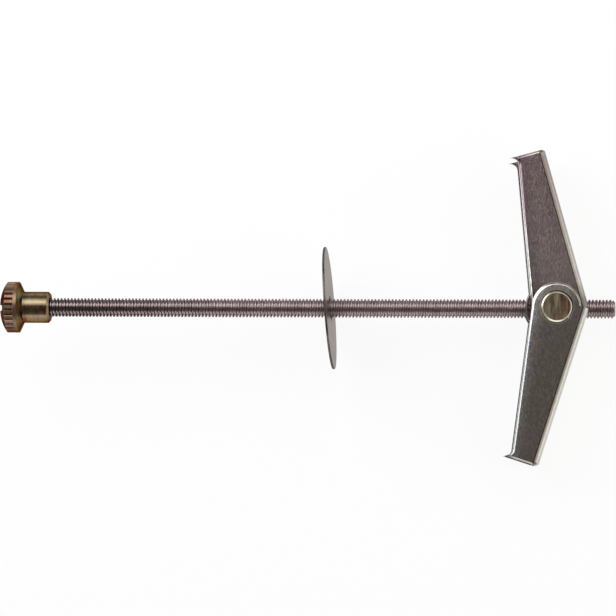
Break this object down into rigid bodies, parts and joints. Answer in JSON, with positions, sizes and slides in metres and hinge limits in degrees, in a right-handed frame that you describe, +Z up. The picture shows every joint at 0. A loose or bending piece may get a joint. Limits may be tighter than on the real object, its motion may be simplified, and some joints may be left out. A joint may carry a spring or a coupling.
{
  "type": "spring toggle bolt",
  "caption": "Cavity wall anchor: threaded rod with a slotted knurled nut, a loose washer and sprung sheet-metal wings that fold to pass a hole and spread behind the wall.",
  "frame": {"origin": "on the floor, under the middle of the bolt's box as it lies at rest on its washer and one wing", "axes": "+X along the rod as it lies, towards its free end; +Z up, away from the floor"},
  "size_m": [0.1248, 0.0642, 0.0249],
  "materials": {
    "plated_rod": "zinc plated, bright",
    "yellow_plating": "zinc plated, yellow passivated",
    "plated_washer": "zinc plated, dull",
    "plated_sheet": "zinc plated, satin",
    "spring_wire": "drawn wire, bright"
  },
  "bodies": {
    "bolt": {"threaded_rod": "plated_rod"},
    "nut": {"thumb_nut": "yellow_plating"},
    "washer_disc": {"washer": "plated_washer"},
    "toggle": {"trunnion_nut": "yellow_plating", "torsion_spring": "spring_wire"},
    "wing_inner": {"inner_wing": "plated_sheet"},
    "wing_outer": {"outer_wing": "plated_sheet"}
  },
  "joints": [
    {"name": "nut_turn", "type": "hinge", "parent": "bolt", "child": "nut", "pos_m": [-0.05215, -0.00005, 0.01871], "axis": [0.9931, 0, -0.1171], "continuous": true},
    {"name": "washer_slide", "type": "slide", "parent": "bolt", "child": "washer_disc", "axis": [0.9931, 0, -0.1171], "range_m": [-0.0566, 0.0035]},
    {"name": "toggle_travel", "type": "slide", "parent": "bolt", "child": "toggle", "axis": [0.9931, 0, -0.1171], "range_m": [-0.008, 0.0085]},
    {"name": "inner_wing_fold", "type": "hinge", "parent": "toggle", "child": "wing_inner", "pos_m": [0.05034, -0.00005, 0.00663], "axis": [0.117, -0.0379, 0.9924], "range_deg": [0, 74.5], "stiffness_Nm_per_rad": 0.06, "springref_deg": -28.65, "deforming": ["torsion_spring"]},
    {"name": "outer_wing_fold", "type": "hinge", "parent": "toggle", "child": "wing_outer", "pos_m": [0.05034, -0.00005, 0.00663], "axis": [-0.117, 0.0379, -0.9924], "range_deg": [0, 72.2], "stiffness_Nm_per_rad": 0.06, "springref_deg": -28.65, "deforming": ["torsion_spring"]}
  ]
}
